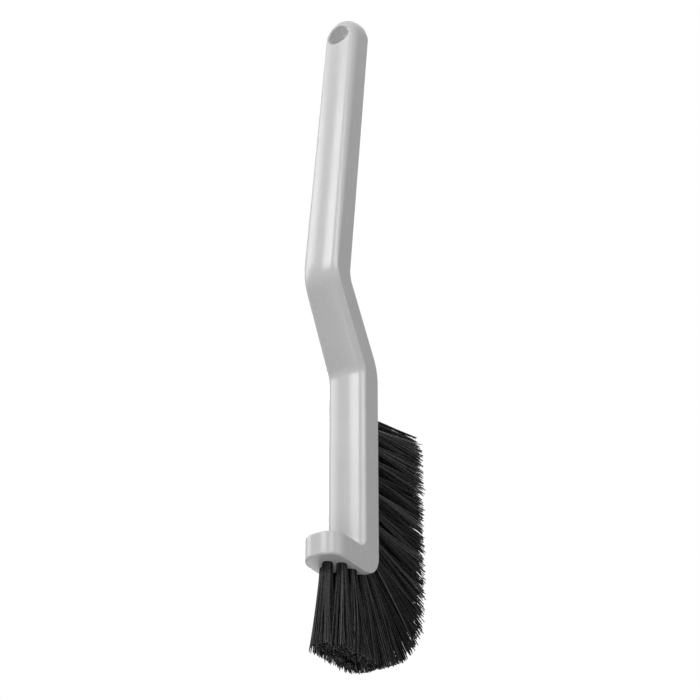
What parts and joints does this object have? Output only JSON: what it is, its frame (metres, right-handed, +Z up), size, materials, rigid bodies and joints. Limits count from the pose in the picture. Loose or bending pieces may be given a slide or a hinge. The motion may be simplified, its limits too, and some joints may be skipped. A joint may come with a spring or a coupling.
{
  "type": "crevice brush",
  "caption": "Narrow L-shaped cleaning brush: bristle rows run along the head's face and round under its foot, on a cranked handle with a hanging hole.",
  "frame": {"origin": "centre of the hanging hole, halfway through the grip", "axes": "+Z up along the straight head bar, away from the foot; +Y towards the bristle side of the head; X across the width, with the middle plane at X = 0"},
  "size_m": [0.0178, 0.0688, 0.3033],
  "materials": {
    "handle_plastic": "satin moulded polypropylene, light grey",
    "bristle": "black polyester filament, slightly glossy",
    "anchor_metal": "flat stainless steel wire"
  },
  "bodies": {
    "root": {"handle": "handle_plastic", "anchors": "anchor_metal", "tuft_top": "bristle", "tuft_foot": "bristle", "tuft_right_01": "bristle", "tuft_right_02": "bristle", "tuft_right_03": "bristle", "tuft_right_04": "bristle", "tuft_right_05": "bristle", "tuft_right_06": "bristle", "tuft_right_07": "bristle", "tuft_right_08": "bristle", "tuft_right_09": "bristle", "tuft_right_10": "bristle", "tuft_right_11": "bristle", "tuft_right_12": "bristle", "tuft_right_13": "bristle", "tuft_left_01": "bristle", "tuft_left_02": "bristle", "tuft_left_03": "bristle", "tuft_left_04": "bristle", "tuft_left_05": "bristle", "tuft_left_06": "bristle", "tuft_left_07": "bristle", "tuft_left_08": "bristle", "tuft_left_09": "bristle", "tuft_left_10": "bristle", "tuft_left_11": "bristle", "tuft_left_12": "bristle", "tuft_left_13": "bristle"}
  },
  "joints": []
}
